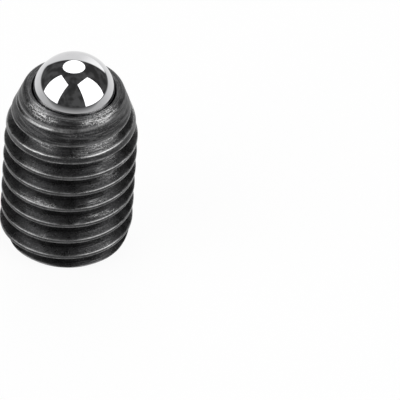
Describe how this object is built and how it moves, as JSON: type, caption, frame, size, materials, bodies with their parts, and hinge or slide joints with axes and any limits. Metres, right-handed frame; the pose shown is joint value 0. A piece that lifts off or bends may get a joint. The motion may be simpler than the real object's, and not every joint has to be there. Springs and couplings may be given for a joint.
{
  "type": "ball spring plunger",
  "caption": "Threaded grub-screw body with a hexagon socket at one end and a spring-loaded steel ball held by a lip at the other.",
  "frame": {"origin": "centre of the flat ring at the socket end, on which the plunger stands", "axes": "+Z along the plunger's axis, from the socket end to the ball; -Y is the front"},
  "size_m": [0.008, 0.008, 0.0135],
  "materials": {
    "black_oxide_steel": "turned and blackened, satin, worn bright on the crests",
    "polished_steel": "polished",
    "spring_steel": "drawn wire"
  },
  "bodies": {
    "housing": {"threaded_body": "black_oxide_steel", "spring": "spring_steel"},
    "ball": {"ball": "polished_steel"}
  },
  "joints": [
    {"name": "ball_slide", "type": "slide", "parent": "housing", "child": "ball", "axis": [0, 0, -1], "range_m": [0, 0.0015], "stiffness_N_per_m": 4900, "springref_m": -0.002, "deforming": ["spring"]}
  ]
}
